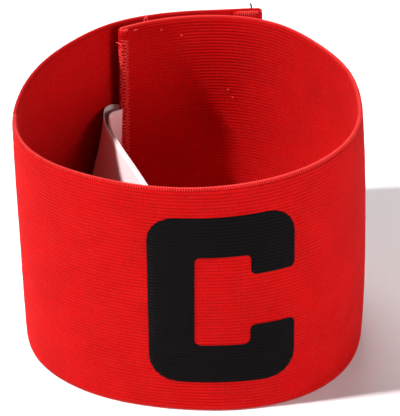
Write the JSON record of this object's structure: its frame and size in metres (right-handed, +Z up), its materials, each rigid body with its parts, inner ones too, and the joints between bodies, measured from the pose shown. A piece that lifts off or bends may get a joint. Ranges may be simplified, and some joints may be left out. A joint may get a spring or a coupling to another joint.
{
  "type": "captain armband",
  "caption": "Ribbed elastic captain's armband standing on its edge as an open loop with overlapped hemmed ends, a printed block letter C and a folded care label.",
  "frame": {"origin": "middle of the base, under the middle of the whole outline", "axes": "+Z up along the width of the strip, -Y towards the printed front, +X to the right as the print is read"},
  "size_m": [0.0952, 0.1014, 0.07],
  "materials": {
    "elastic": "matt red elastic webbing with fine lengthwise ribs and a paler selvedge",
    "hook_tape": "matt red woven tape with short hooks",
    "print": "matt black print that follows the ribs",
    "satin": "soft white satin ribbon"
  },
  "bodies": {
    "root": {"band": "elastic", "hook_patch": "hook_tape", "letter_c": "print", "label": "satin"}
  },
  "joints": []
}
